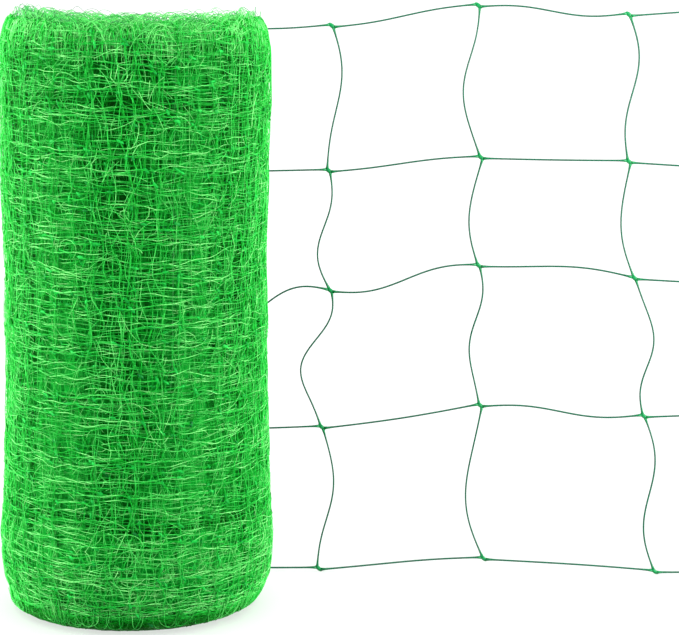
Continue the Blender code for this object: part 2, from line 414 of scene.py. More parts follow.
def slackness(count, share, sizes):
    """A wandering line for each strand, nought at both ends: one wave for each size, in half turns."""
    order = 1.0 + np.arange(len(sizes))
    waves = np.sin(np.pi * order[:, None] * share[None, :])
    return (rng.normal(size=(count, len(sizes))) * sizes) @ waves


# The strands and knots of the winding

STRAND_RADIUS = 0.00034
# A strand swells towards the knots at its two ends, and takes their tone there.
KNOT_GAIN = 1.6
KNOT_FLARE = 0.007
KNOT_TONE = 0.22
KNOT_TONE_REACH = 1.5 * KNOT_FLARE
# How a kind of strand is laid. It has fewer points in the inner turns.
Manner = namedtuple("Manner", "slack radius sink brightness shine outer_points inner_points")
# Cross strands are lighter and glint more than uprights: a painted highlight from light above.
CROSS = Manner(
    slack=wave_sizes(0.0011, 0.40, 11), radius=0.00032, sink=0.0, brightness=0.53, shine=0.48,
    outer_points=21, inner_points=11,
)
UPRIGHT = Manner(
    slack=wave_sizes(0.0036, 0.60, 8), radius=0.00032, sink=0.0002, brightness=0.49, shine=0.22,
    outer_points=15, inner_points=9,
)
EDGE = Manner(
    slack=wave_sizes(0.0050, 0.75, 9), radius=STRAND_RADIUS, sink=0.0, brightness=0.55, shine=0.25,
    outer_points=20, inner_points=11,
)
# Painted glints: highlights painted along the strands
SHINE_WAVES = wave_sizes(0.42, 0.0, 12)
BRIGHTNESS_SCATTER = 0.09
DEPTH_SLACK = wave_sizes(0.0012, 0.3, 7)
# A shorter strand than this has no direction to lean across.
LEAST_LENGTH = 1e-6

WOUND_KNOT_LEAN = -0.6
WOUND_KNOT_LEAN_SCATTER = 0.5
WOUND_KNOT_HALF_LENGTHS = (0.0032, 0.0052)
WOUND_KNOT_HALF_WIDTHS = (0.0013, 0.0021)
WOUND_KNOT_HALF_THICKNESS = 0.0007
WOUND_KNOT_SEGMENTS = 6
WOUND_KNOT_RINGS = 3
OUTERMOST_KNOT_RINGS = 4
KNOT_TONE_SCATTER = 0.06
KNOT_BLUENESS = 1.0

# The winding's turns, from outside the outline down to its dark core
TURNS = 64
FIRST_DEPTH = -0.0014
LAST_DEPTH = 0.0062
CROWDING = 1.5
CORE_DEPTH = 0.0074
CORE_CLEARANCE = 0.001
PILES = 6
OUTER_PILES = 3


def depth_of(turn):
    return FIRST_DEPTH + (LAST_DEPTH - FIRST_DEPTH) * (turn / TURNS) ** CROWDING


def pile_of(turn, piles):
    """Which pile a bit of the winding goes to, by its turn."""
    return np.minimum((turn / TURNS * piles).astype(int), piles - 1)


def nearness(share, length, reach):
    """1 at the two knots that a strand runs between, and less away from them."""
    return np.exp(-np.minimum(share, 1.0 - share) * length / reach)


def strand_tones(share, length, manner):
    """How light strands are: a tone that differs at random, painted glints (highlights) here and there, and
    the knots' tone at both ends.
    """
    count = len(length)
    painted_glint = np.clip(slackness(count, share, SHINE_WAVES), 0.0, 1.0)
    light = rng.normal(manner.brightness, BRIGHTNESS_SCATTER, (count, 1)) + manner.shine * painted_glint
    return light + (KNOT_TONE - light) * nearness(share, length, KNOT_TONE_REACH)


def lay_strands(piles, start, end, turn, manner):
    """Strands from knot to knot, as angle and height, each in the pile of its turn."""
    for number, pile in enumerate(piles):
        mine = pile_of(turn, len(piles)) == number
        a = start[mine]
        span = end[mine] - a
        count = len(a)
        share = np.linspace(0.0, 1.0, manner.outer_points if number < OUTER_PILES else manner.inner_points)
        run = span * (ROLL_RADIUS, 1.0)
        length = np.linalg.norm(run, axis=-1, keepdims=True)
        ease = np.minimum(1.0, length / MESH_PITCH)
        off = slackness(count, share, manner.slack) * ease
        across = np.stack([-run[:, 1], run[:, 0]], axis=-1) / np.maximum(length, LEAST_LENGTH)
        angle = a[:, :1] + span[:, :1] * share + off * across[:, :1] / ROLL_RADIUS
        height = a[:, 1:] + span[:, 1:] * share + off * across[:, 1:]
        height = np.clip(height, LEAST_HEIGHT, crest(angle))
        depth = depth_of(turn[mine])[:, None] + manner.sink + slackness(count, share, DEPTH_SLACK)
        depth = np.clip(depth, -WORST_PROUD, CORE_DEPTH - CORE_CLEARANCE)
        radii = manner.radius * (1.0 + KNOT_GAIN * nearness(share, length, KNOT_FLARE))
        tones = strand_tones(share, length, manner) * painted_shading(angle, height, depth)
        add_tubes(pile, in_winding(angle, height, depth), radii, radial(angle), tones)


def lay_knots(piles, places, turn):
    """Knots at places of angle and height, each in the pile of its turn."""
    for number, pile in enumerate(piles):
        mine = pile_of(turn, len(piles)) == number
        angle, height = places[mine].T
        depth = depth_of(turn[mine])
        count = len(angle)
        lean = rng.normal(WOUND_KNOT_LEAN, WOUND_KNOT_LEAN_SCATTER, count)[:, None]
        out = radial(angle)
        tangent = np.stack([-out[:, 1], out[:, 0], np.zeros(count)], axis=-1)
        along = np.cos(lean) * tangent + np.sin(lean) * UPWARD
        half_lengths = rng.uniform(*WOUND_KNOT_HALF_LENGTHS, count)
        half_widths = rng.uniform(*WOUND_KNOT_HALF_WIDTHS, count)
        sizes = np.stack([half_lengths, half_widths, np.full(count, WOUND_KNOT_HALF_THICKNESS)], axis=-1)
        tones = rng.normal(KNOT_TONE, KNOT_TONE_SCATTER, count) * painted_shading(angle, height, depth)
        rings = OUTERMOST_KNOT_RINGS if number == 0 else WOUND_KNOT_RINGS
        centre = in_winding(angle, height, depth)
        add_knots(pile, centre, out, along, sizes, tones, rings, WOUND_KNOT_SEGMENTS, KNOT_BLUENESS)


# Where the winding's knots lie: in columns on even half bands round the roll, COLUMN_STEP of them apart

MESH_PITCH = 0.150
HALF_BANDS = 40
COLUMN_STEP = 7
BAND_PITCH = FULL_TURN * ROLL_RADIUS / HALF_BANDS
BAND_PULL = 0.0040
# The winding starts where the loose end's first knots lie on the roll, this far along X.
FIRST_COLUMN_X = 0.030
FIRST_COLUMN_ANGLE = math.acos(FIRST_COLUMN_X / ROLL_RADIUS)
FIRST_ROW = 0.010
ROW_REACH = 21
ROW_BAND = 0.058
ROW_PULL = 0.0020
# Each turn's rows lie this much above or below the last turn's, which spreads them evenly over the mesh.
ROW_SHIFT = (math.sqrt(5.0) - 2.0) * MESH_PITCH
TURN_SCATTER = 0.0025
COLUMN_SCATTER = 0.0028
KNOT_SCATTER = 0.0045
HEIGHT_SCATTER = 0.0035
# How far the fold and the long edge stay off the roll's two ends
RIM_GAP = 0.0030
RIM_SCATTER = 0.024
FOOT_SCATTER = 0.030
SCATTER_POWER = 1.5
END_CLEARANCE = 0.006
# The long edge strays as the knots of this row do.
EDGE_ROW = 1


def place_knots(turn, shift):
    """The angles and heights of a half's knots, which of them are clear of both ends, and its long edge."""
    columns = len(turn)
    rows = np.arange(-ROW_REACH, ROW_REACH + 1)
    shape = (columns, len(rows))
    base = FIRST_ROW + shift * turn + rng.normal(0.0, TURN_SCATTER, columns)
    arc = turn * HALF_BANDS * BAND_PITCH
    arc = arc[:, None] + rng.normal(0.0, COLUMN_SCATTER, (columns, 1)) + rng.normal(0.0, KNOT_SCATTER, shape)
    arc = arc - BAND_PULL * np.sin(np.pi * arc / BAND_PITCH)
    angle = FIRST_COLUMN_ANGLE + arc / ROLL_RADIUS
    height = base[:, None] + MESH_PITCH * rows + rng.normal(0.0, HEIGHT_SCATTER, shape)
    height = height - ROW_PULL * np.sin(FULL_TURN * height / ROW_BAND)
    top = crest(angle) - RIM_GAP - RIM_SCATTER * rng.uniform(size=shape) ** SCATTER_POWER
    bottom = LEAST_HEIGHT + FOOT_SCATTER * rng.uniform(size=shape) ** SCATTER_POWER
    clear = (height > bottom + END_CLEARANCE) & (height < top - END_CLEARANCE)
    knots = np.stack([angle, np.clip(height, bottom, top)], axis=-1)
    edge = np.stack([angle[:, EDGE_ROW], bottom[:, EDGE_ROW]], axis=-1)
    return knots, clear, edge


def pick(values, mask):
    """Each column's value at each of its places in the mask."""
    return np.broadcast_to(values[:, None], mask.shape)[mask]


def lay_half(piles, shift):
    """One half of the folded net, wound inwards. Its fold is at the roll's top, its long edge at the foot."""
    turn = COLUMN_STEP * np.arange(int(TURNS * HALF_BANDS / COLUMN_STEP)) / HALF_BANDS
    knots, clear, edge = place_knots(turn, shift)
    across = clear[:-1] | clear[1:]
    lay_strands(piles, knots[:-1][across], knots[1:][across], pick(turn[:-1], across), CROSS)
    lay_strands(piles, edge[:-1], edge[1:], turn[:-1], EDGE)
    upright = clear[:, :-1] | clear[:, 1:]
    lay_strands(piles, knots[:, :-1][upright], knots[:, 1:][upright], pick(turn, upright), UPRIGHT)
    lay_knots(piles, knots[clear], pick(turn, clear))


def make_windings(material):
    """Both halves of the folded net, from the outermost turns inwards."""
    piles = [Pile() for _ in range(PILES)]
    for shift in (-ROW_SHIFT, ROW_SHIFT):
        lay_half(piles, shift)
    return [pile.build(f"net_turns_{number}", material) for number, pile in enumerate(piles, 1)]


# Thin slack bits of strand over the outermost turns

ARC_COUNT = 2900
ARC_POINTS = 7
ARC_RADIUS = 0.00027
ARC_RADIUS_SCATTER = (0.8, 1.2)
ARC_HEIGHTS = (0.02, ROLL_TOP - 0.012)
ARC_LEAST_HEIGHT = 0.002
# This share of the arcs is kept for the lower end of the roll.
LOW_ARCS = 0.22
LOW_ARC_HEIGHTS = (0.012, 0.100)
# How steeply arcs head up: middle and scatter in radians. Some are level, and most of the others climb.
LEVEL = (0.0, 0.22)
CLIMBING = (1.1, 0.3)
FALLING = (-0.8, 0.5)
LEVEL_ARCS = 0.40
CLIMBING_ARCS = 0.7
ARC_LEAST_LENGTH = 0.010
ARC_LENGTH_RANGE = 0.038
ARC_LENGTH_POWER = 1.7
# This share of the arcs curls tightly. Curls are in radians to the metre, and the twist changes them.
TIGHT_ARCS = 0.3
TIGHT_CURL = 85.0
OPEN_CURL = 28.0
TWIST = 500.0
ARC_DEPTHS = (-0.0012, 0.0010)
ARC_RISE = 0.0008
# The arcs' light tones are partly their own colour and partly a painted highlight. Painted shade over the
# floor leaves them at least this share of their tone.
ARC_TONES = (0.66, 0.96)
ARC_LEAST_LIGHT = 0.3


def arc_heights(shape):
    low = rng.uniform(*LOW_ARC_HEIGHTS, shape)
    return np.where(rng.uniform(size=shape) < LOW_ARCS, low, rng.uniform(*ARC_HEIGHTS, shape))


def arc_headings(shape):
    level = rng.normal(*LEVEL, shape)
    climbs = rng.uniform(size=shape) < CLIMBING_ARCS
    steep = np.where(climbs, rng.normal(*CLIMBING, shape), rng.normal(*FALLING, shape))
    return np.where(rng.uniform(size=shape) < LEVEL_ARCS, level, steep)


def make_slack_arcs(material):
    """Thin slack bits of strand that curl over the outermost turns."""
    pile = Pile()
    shape = (ARC_COUNT, 1)
    angle = rng.uniform(0.0, FULL_TURN, shape)
    height = arc_heights(shape)
    heading = arc_headings(shape)
    length = ARC_LEAST_LENGTH + ARC_LENGTH_RANGE * rng.uniform(size=shape) ** ARC_LENGTH_POWER
    curl = rng.normal(size=shape) * np.where(rng.uniform(size=shape) < TIGHT_ARCS, TIGHT_CURL, OPEN_CURL)
    twist = rng.normal(0.0, TWIST, shape)
    share = np.linspace(-0.5, 0.5, ARC_POINTS)[None, :]
    along = share * length
    turned = heading + curl * along + twist * along * along
    step = length / (ARC_POINTS - 1)
    angles = angle + np.cumsum(np.cos(turned) * step, axis=1) / ROLL_RADIUS
    heights = height + np.cumsum(np.sin(turned) * step, axis=1)
    heights = np.clip(heights, ARC_LEAST_HEIGHT, crest(angles))
    depth = rng.uniform(*ARC_DEPTHS, shape) - ARC_RISE * np.cos(np.pi * share) ** 2
    paths = in_winding(angles, heights, np.maximum(depth, -WORST_PROUD))
    radii = ARC_RADIUS * rng.uniform(*ARC_RADIUS_SCATTER, shape)
    # Painted shade over the floor
    tones = rng.uniform(*ARC_TONES, shape) * softened(foot_light(heights), ARC_LEAST_LIGHT)
    add_tubes(pile, paths, radii, radial(angles), tones)
    return pile.build("slack_arcs", material)


# Loops of slack net along both rims, on the roll's side

LOOP_POINTS = 14
LOOP_SHARE = np.linspace(-1.0, 1.0, LOOP_POINTS)[None, :]
LOOP_SKEW = 0.3
EDGE_LOOP_RADIUS = 0.9 * STRAND_RADIUS
EDGE_LOOP_DEPTHS = (-0.0012, 0.0040)
EDGE_LOOP_HALF_WIDTHS = (0.004, 0.013)
EDGE_LOOP_LEGS = (0.008, 0.032)
EDGE_LOOP_INSET = 0.010
# The lower this power is, the squarer is a loop's bend.
EDGE_LOOP_POWER = 0.7
TOP_LOOP_COUNT = 950
TOP_LOOP_GAP = 0.003
TOP_LOOP_TONES = (0.60, 0.92)
FOOT_LOOP_COUNT = 430
FOOT_LOOP_TONES = (0.55, 0.95)
FOOT_LOOP_LEAST_LIGHT = 0.90
# How far the loops at the foot stand out from the winding
FOOT_LOOP_REACH = 0.0012


def make_edge_loops(material):
    """The U-shaped turns of slack net along the roll's top and bottom rims, on its side."""
    pile = Pile()
    for at_top, count in ((True, TOP_LOOP_COUNT), (False, FOOT_LOOP_COUNT)):
        shape = (count, 1)
        angle = rng.uniform(0.0, FULL_TURN, shape)
        depth = rng.uniform(*EDGE_LOOP_DEPTHS, shape)
        half_width = rng.uniform(*EDGE_LOOP_HALF_WIDTHS, shape)
        leg = rng.uniform(*EDGE_LOOP_LEGS, shape)
        skew = 1.0 + LOOP_SKEW * rng.normal(size=shape) * LOOP_SHARE
        angles = angle + half_width * np.sin(LOOP_SHARE * np.pi / 2.0) * skew / ROLL_RADIUS
        away = leg * (1.0 - np.abs(np.cos(LOOP_SHARE * np.pi / 2.0)) ** EDGE_LOOP_POWER)
        inset = rng.uniform(0.0, EDGE_LOOP_INSET, shape)
        if at_top:
            heights = crest(angles) - TOP_LOOP_GAP - inset - away
            tones = rng.uniform(*TOP_LOOP_TONES, shape)
            paths = in_winding(angles, heights, depth)
        else:
            heights = LEAST_HEIGHT + inset + away
            # Painted shade deep in the winding and over the floor, softened so that the loops stay light
            light = softened(painted_shading(angles, heights, depth), FOOT_LOOP_LEAST_LIGHT)
            tones = rng.uniform(*FOOT_LOOP_TONES, shape) * light
            paths = in_winding(angles, heights, depth) + FOOT_LOOP_REACH * radial(angles)
        add_tubes(pile, paths, EDGE_LOOP_RADIUS, radial(angles), tones)
    return pile.build("edge_loops", material)


# Loops that stand up over the roll's top end

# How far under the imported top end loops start, and how far in from the roll's radius
CROWN_GAP = 0.0075
CROWN_START = 0.003
# The roll's top end leans this far towards the loose end.
RIM_LEAN = 0.0050
CROWN_LOOP_DRIFT = 0.003
CROWN_LOOP_POWER = 0.8
CROWN_LOOP_SLACK = wave_sizes(0.0006, 0.6, 5)
Loops = namedtuple("Loops", "name slot count depths half_widths rises thickness tones")
CROWN = Loops(
    name="crown_loops", slot="wound_net", count=460, depths=(0.003, 0.040), half_widths=(0.006, 0.018),
    rises=(0.003, 0.011), thickness=STRAND_RADIUS, tones=(0.55, 0.95),
)
HALO = Loops(
    name="rim_halo", slot="net_strand", count=150, depths=(0.003, 0.022), half_widths=(0.008, 0.022),
    rises=(0.008, 0.0145), thickness=0.00026, tones=(0.1, 0.9),
)


def make_crown_loops(loops, material):
    """Loops of net that stand up over the roll's top end, from its rim inwards."""
    pile = Pile()
    shape = (loops.count, 1)
    angle = rng.uniform(0.0, FULL_TURN, shape)
    depth = rng.uniform(*loops.depths, shape)
    radius = ROLL_RADIUS - CROWN_START - depth + rng.normal(0.0, CROWN_LOOP_DRIFT, shape) * LOOP_SHARE
    radius = radius + RIM_LEAN * np.cos(angle)
    skew = 1.0 + LOOP_SKEW * rng.normal(size=shape) * LOOP_SHARE
    angles = angle + rng.uniform(*loops.half_widths, shape) * LOOP_SHARE * skew / radius
    hump = np.cos(LOOP_SHARE * np.pi / 2.0) ** CROWN_LOOP_POWER
    wander = slackness(loops.count, 0.5 + 0.5 * LOOP_SHARE[0], CROWN_LOOP_SLACK)
    heights = top_height(angles, radius) - CROWN_GAP + rng.uniform(*loops.rises, shape) * hump + wander
    paths = round_axis(radius, angles, heights)
    add_tubes(pile, paths, loops.thickness, radial(angles), rng.uniform(*loops.tones, shape))
    return pile.build(loops.name, material, loops.slot)


# The edges of the turns on both ends of the roll

End = namedtuple("End", "at_top passes rim spacing")
ENDS = [
    End(at_top=True, passes=2, rim=0.113, spacing=0.0018),
    End(at_top=False, passes=1, rim=0.100, spacing=0.0036),
]
END_POINTS = 16
END_INNERMOST = 0.006
END_LEAST_RADIUS = 0.003
END_ARC_LENGTH = 0.12
END_LEAST_ARCS = 2
# How much of its share of the ring an arc covers
END_SWEEPS = (0.8, 1.15)
# How many waves an arc has, and their sizes across and up
END_WAVES = (1.5, 4.5)
END_WANDER = 0.0030
END_LIFT = 0.0020
END_DRIFT = 0.0006
END_SINK = 0.0006
END_PASS_SINK = 0.0016
END_SINK_SCATTER = 0.0012
END_TONES = (0.1, 0.6)


def end_ring(end, number, radius):
    """The wavy arcs of one ring of turns, in an end's pass of this number."""
    arcs = max(END_LEAST_ARCS, round(FULL_TURN * radius / END_ARC_LENGTH))
    start = rng.uniform(0.0, FULL_TURN) + even_angles(arcs)
    sweep = FULL_TURN / arcs * rng.uniform(*END_SWEEPS, arcs)
    share = np.linspace(0.0, 1.0, END_POINTS)[None, :]
    angles = start[:, None] + sweep[:, None] * share
    phase = rng.uniform(0.0, FULL_TURN, (2, arcs, 1))
    waves = rng.uniform(*END_WAVES, (2, arcs, 1))
    wave = np.sin(FULL_TURN * waves * share + phase)
    wander = rng.normal(0.0, END_WANDER, (arcs, 1)) * wave[0]
    lift = rng.normal(0.0, END_LIFT, (arcs, 1)) * wave[1]
    reach = np.maximum(radius + wander + rng.normal(0.0, END_DRIFT, (arcs, 1)), END_LEAST_RADIUS)
    sink = END_SINK + END_PASS_SINK * number + rng.uniform(0.0, END_SINK_SCATTER, (arcs, 1))
    if end.at_top:
        heights = top_height(angles, reach) - CROWN_GAP - sink + lift
    else:
        heights = np.maximum(bottom_height(angles, reach) + sink + np.abs(lift), LEAST_HEIGHT)
    return round_axis(reach, angles, heights)


def make_end_windings(material):
    """The edges of the turns, seen as wavy strands round both ends of the roll."""
    pile = Pile()
    for end in ENDS:
        for number in range(end.passes):
            for radius in np.arange(END_INNERMOST, end.rim, end.spacing):
                paths = end_ring(end, number, radius)
                tones = rng.uniform(*END_TONES, (len(paths), 1))
                add_tubes(pile, paths, STRAND_RADIUS, UPWARD, tones)
    return pile.build("end_windings", material)


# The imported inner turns

CORE_SEGMENTS = 96
CORE_ROWS = 96
# The heights of the core's ends on the axis, and how far under the crest its top ring lies
CORE_FOOT = 0.010
CORE_CROWN = 0.590
CORE_GAP = 0.010
# Painted light and shade on the core: how much lighter it is where it is loose, and how much darker over the
# floor
CORE_LIGHT = 0.085
CORE_SHADE = 0.36


def core_blocks(angle):
    """The core's wall, foot and top, each with a cell of the map."""
    index = np.arange(CORE_ROWS * CORE_SEGMENTS).reshape(CORE_ROWS, CORE_SEGMENTS)
    after = np.roll(index, -1, axis=1)
    walls = np.stack([index[:-1], after[:-1], after[1:], index[1:]], axis=-1)
    u = np.arange(CORE_SEGMENTS) / CORE_SEGMENTS
    next_u = u + 1.0 / CORE_SEGMENTS
    v = np.arange(CORE_ROWS - 1)[:, None] / (CORE_ROWS - 1)
    next_v = v + 1.0 / (CORE_ROWS - 1)
    corner_u = np.stack([u, next_u, next_u, u], axis=-1)[None]
    corner_v = np.stack([v, v, next_v, next_v], axis=-1)
    spots = np.stack(np.broadcast_arrays(corner_u, corner_v), axis=-1).reshape(-1, 4, 2)
    ring = 0.5 + 0.5 * np.stack([np.cos(angle), np.sin(angle)], axis=-1)
    next_ring = np.roll(ring, -1, axis=0)
    middle = np.full_like(ring, 0.5)
    foot = np.full(CORE_SEGMENTS, index.size)
    foot_corners = np.stack([after[0], index[0], foot], axis=-1)
    top_corners = np.stack([index[-1], after[-1], foot + 1], axis=-1)
    return [
        (walls.reshape(-1, 4), np.zeros(len(spots), int), spots),
        (foot_corners, np.full(CORE_SEGMENTS, 1), np.stack([next_ring, ring, middle], axis=1)),
        (top_corners, np.full(CORE_SEGMENTS, 2), np.stack([ring, next_ring, middle], axis=1)),
    ]


def make_core(material):
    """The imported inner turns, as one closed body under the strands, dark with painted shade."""
    angle = even_angles(CORE_SEGMENTS)
    rings = []
    tones = []
    for share in 0.5 - 0.5 * np.cos(np.pi * np.linspace(0.0, 1.0, CORE_ROWS)):
        height = LEAST_HEIGHT + share * (crest(angle) - CORE_GAP - LEAST_HEIGHT)
        rings.append(in_winding(angle, height, CORE_DEPTH))
        # Painted light where the net is loose, painted shade over the floor
        tones.append(CORE_LIGHT * painted_slack_light(angle, height) - CORE_SHADE * (1.0 - foot_light(height)))
    on_axis = np.array([[0.0, 0.0, CORE_FOOT], [0.0, 0.0, CORE_CROWN]])
    points = np.concatenate(rings + [on_axis])
    tones = np.concatenate(tones + [np.zeros(len(on_axis))])
    blocks = core_blocks(angle)
    pile = Pile()
    pile.add(points, tones, blocks, len(blocks))
    return pile.build("wound_core", material)


# The loose end. Its knots and bends are those of the solid that it stands for.

NET_DEPTH = 0.120
NET_RIPPLE = 0.0035
NET_HEIGHT = 0.610
RIPPLE_LENGTH = 0.33
LEAVES_ROLL_X = 0.035
SETTLES_X = 0.195
# On the roll's back the net follows its side between these heights, with a gap.
HUG_LOWEST = 0.056
HUG_HIGHEST = 0.578
HUG_GAP = 0.0013
FLOOR_KNOT = 0.0035
STUB_LENGTH = 0.075
# How far to each side along X the net's slope in plan is read
SLOPE_LENGTH = 0.001

# The knots' X and height, a line for each row from the top edge down
KNOTS = [
    [(0.030, 0.592), (0.197, 0.598), (0.352, 0.621), (0.512, 0.613)],
    [(0.028, 0.441), (0.195, 0.444), (0.358, 0.460), (0.517, 0.457)],
    [(0.031, 0.275), (0.198, 0.314), (0.358, 0.343), (0.527, 0.331)],
    [(0.029, 0.160), (0.190, 0.163), (0.363, 0.189), (0.542, 0.179)],
    [(0.030, FLOOR_KNOT), (0.188, FLOOR_KNOT), (0.370, 0.017), (0.560, FLOOR_KNOT)],
]
# How far a strand leaves the straight line between its knots: a bow, an S of two halves, a wave of three
STRAIGHT = (0.0, 0.0)
# Cross strands, bent up: a line for each row, from the roll outwards
CROSS_BENDS = [
    [(-0.001, 0.001), (0.000, -0.0015), (-0.0015, 0.0035)],
    [STRAIGHT, (0.001, -0.001), (-0.0005, 0.000)],
    [(-0.008, -0.016), (-0.0015, -0.0055), (0.0055, -0.0015)],
    [(-0.001, 0.000), (-0.002, 0.000), (-0.0015, 0.004)],
    [(-0.0005, 0.000), (0.0005, -0.0005), (0.002, 0.000)],
]
# How far each cut stub at the far edge climbs
STUB_RISES = [0.006, -0.004, -0.003, 0.004, 0.000]
# Upright strands, bent away from the roll: a line for each column, from the top down
UPRIGHT_BENDS = [
    [(0.003, 0.001), (-0.002, 0.002), (0.003, -0.001), (-0.002, 0.001)],
    [(0.009, 0.004), (-0.0075, 0.007), (-0.020, 0.0075, 0.005), (0.012, 0.0035, -0.001)],
    [(-0.015, 0.0035, 0.0015), (-0.011, 0.001), (-0.007, 0.005, 0.0025), (-0.017, 0.003)],
    [(0.005, 0.0065), (-0.0115, 0.001), (0.012, 0.005, -0.003), (0.000, 0.0085)],
]
BENDS_UP = (0.0, 1.0)
BENDS_OUT = (1.0, 0.0)
# Where strands leave a knot, from its middle
SIDE_PORT = np.array([0.0029, -0.0011])
FOOT_PORT = np.array([0.0016, -0.0024])

LOOSE_RADIUS = 0.00100
LOOSE_GAIN = 0.9
LOOSE_FLARE = 0.0045
LOOSE_TONE_REACH = 0.006
LOOSE_POINTS = 44
LOOSE_SIDES = 6
KNOT_LEAN = math.atan2(-0.0035, 0.0045)
KNOT_HALF_SIZES = (0.0048, 0.0023, 0.0012)
KNOT_RINGS = 8
KNOT_SEGMENTS = 16


def eased(share):
    """0 to 1 with level ends."""
    share = np.clip(share, 0.0, 1.0)
    return share * share * (3.0 - 2.0 * share)


def net_depth(x, height):
    """The loose end's place along Y: on the roll's back, off it at a tangent, then nearly flat."""
    held_x = np.minimum(x, LEAVES_ROLL_X)
    hugged = side_radius(np.arccos(held_x / ROLL_RADIUS), np.clip(height, HUG_LOWEST, HUG_HIGHEST)) + HUG_GAP
    start = np.sqrt(hugged**2 - held_x**2)
    slope = -LEAVES_ROLL_X / start
    span = SETTLES_X - LEAVES_ROLL_X
    share = (x - LEAVES_ROLL_X) / span
    leaving = start + (NET_DEPTH - start) * eased(share) + span * slope * share * (1.0 - share) ** 2
    ripple = np.sin(FULL_TURN * (x - SETTLES_X) / RIPPLE_LENGTH) * np.cos(FULL_TURN * height / NET_HEIGHT)
    settled = NET_DEPTH + NET_RIPPLE * ripple
    return np.where(x <= LEAVES_ROLL_X, start, np.where(share < 1.0, leaving, settled))


def net_place(x, height):
    return np.stack([x, net_depth(x, height), height], axis=-1)


def net_normal(x, height):
    rise = net_depth(x + SLOPE_LENGTH, height) - net_depth(x - SLOPE_LENGTH, height)
    slope = rise / (2.0 * SLOPE_LENGTH)
    return unit(np.stack([-slope, np.ones_like(slope), np.zeros_like(slope)], axis=-1))


def loose_path(start, end, bend, bends_to):
    """A strand's line in the net's own plane, as x and height."""
    share = np.linspace(0.0, 1.0, LOOSE_POINTS)[:, None]
    off = sum(size * np.sin((order + 1) * np.pi * share) for order, size in enumerate(bend))
    return start + share * (end - start) + off * np.array(bends_to)


def loose_paths():
    """Every strand's line in the net's own plane, and whether it ends in a cut."""
    paths = []
    cut = []
    for row, line in enumerate(KNOTS):
        for column, knot in enumerate(line):
            here = np.array(knot)
            if column + 1 < len(line):
                there = np.array(line[column + 1])
                bend = CROSS_BENDS[row][column]
                paths.append(loose_path(here + SIDE_PORT, there - SIDE_PORT, bend, BENDS_UP))
                cut.append(False)
            else:
                end = here + SIDE_PORT + (STUB_LENGTH, STUB_RISES[row])
                paths.append(loose_path(here + SIDE_PORT, end, STRAIGHT, BENDS_UP))
                cut.append(True)
            if row + 1 < len(KNOTS):
                there = np.array(KNOTS[row + 1][column])
                bend = UPRIGHT_BENDS[column][row]
                paths.append(loose_path(here + FOOT_PORT, there - FOOT_PORT, bend, BENDS_OUT))
                cut.append(False)
    return np.array(paths), np.array(cut)[:, None]


def add_loose_strands(pile):
    paths, cut = loose_paths()
    x, height = paths[..., 0], paths[..., 1]
    run = np.cumsum(np.linalg.norm(np.diff(paths, axis=1, prepend=paths[:, :1]), axis=-1), axis=1)
    to_knot = np.where(cut, run, np.minimum(run, run[:, -1:] - run))
    radii = LOOSE_RADIUS * (1.0 + LOOSE_GAIN * np.exp(-to_knot / LOOSE_FLARE))
    tones = np.exp(-to_knot / LOOSE_TONE_REACH)
    add_tubes(pile, net_place(x, height), radii, net_normal(x, height), tones, LOOSE_SIDES)


def add_loose_knots(pile):
    x, height = np.array([knot for line in KNOTS for knot in line]).T
    count = len(x)
    out = net_normal(x, height)
    tangent = np.stack([out[:, 1], -out[:, 0], np.zeros(count)], axis=-1)
    along = math.cos(KNOT_LEAN) * tangent + math.sin(KNOT_LEAN) * UPWARD
    sizes = np.tile(KNOT_HALF_SIZES, (count, 1))
    add_knots(pile, net_place(x, height), out, along, sizes, np.ones(count), KNOT_RINGS, KNOT_SEGMENTS)


def make_loose_end(material):
    """The loose stretch of single net, with round strands and rounded knots."""
    pile = Pile()
    add_loose_strands(pile)
    add_loose_knots(pile)
    return pile.build("loose_net", material, "net_strand", "loose_end")


# Materials

# A finish's stops are its colours by tone, and mottle is how far the tone strays along a strand.
Finish = namedtuple("Finish", "name stops roughness specular mottle")
# The winding's darkest stops are painted shade deep in it and over the floor, its palest a painted highlight.
WOUND_FINISH = Finish(
    name="wound_strands",
    stops=[
        (0.00, (0.0006, 0.095, 0.002)),
        (0.25, (0.0020, 0.240, 0.011)),
        (0.50, (0.0120, 0.370, 0.036)),
        (0.78, (0.0700, 0.490, 0.090)),
        (1.00, (0.1950, 0.660, 0.185)),
    ],
    roughness=0.40, specular=0.06, mottle=0.60,
)
HALO_FINISH = Finish(
    name="rim_strands",
    stops=[
        (0.00, (0.012, 0.100, 0.045)),
        (1.00, (0.080, 0.440, 0.090)),
    ],
    roughness=0.35, specular=0.15, mottle=0.20,
)
LOOSE_FINISH = Finish(
    name="loose_strands",
    stops=[
        (0.00, (0.0040, 0.070, 0.036)),
        (0.45, (0.0040, 0.100, 0.038)),
        (1.00, (0.0030, 0.165, 0.044)),
    ],
    roughness=0.30, specular=0.20, mottle=0.15,
)
# What the winding's knots have on top of their tone's colour
KNOT_TINT = (0.002, 0.0, 0.015)
MOTTLE_SCALE = 70.0
NOISE_DETAIL = 3.0

# The core's streaks run both ways, and its colour follows the brighter of the two.
Streaks = namedtuple("Streaks", "scale stretch")
ROUND_STREAKS = Streaks(40.0, (1.0, 1.0, 10.0))
UP_STREAKS = Streaks(300.0, (1.0, 1.0, 0.08))
STREAK_DISTORTION = 0.4
# Dark greens for the painted shade of the deep turns
CORE_STOPS = [
    (0.39, (0.0005, 0.055, 0.002)),
    (0.52, (0.0012, 0.170, 0.010)),
    (0.63, (0.0045, 0.320, 0.026)),
]
CORE_BUMP = 0.0015
CORE_ROUGHNESS = 0.7
CORE_SPECULAR = 0.05


def set_inputs(node, values):
    for name, value in values.items():
        node.inputs[name].default_value = value


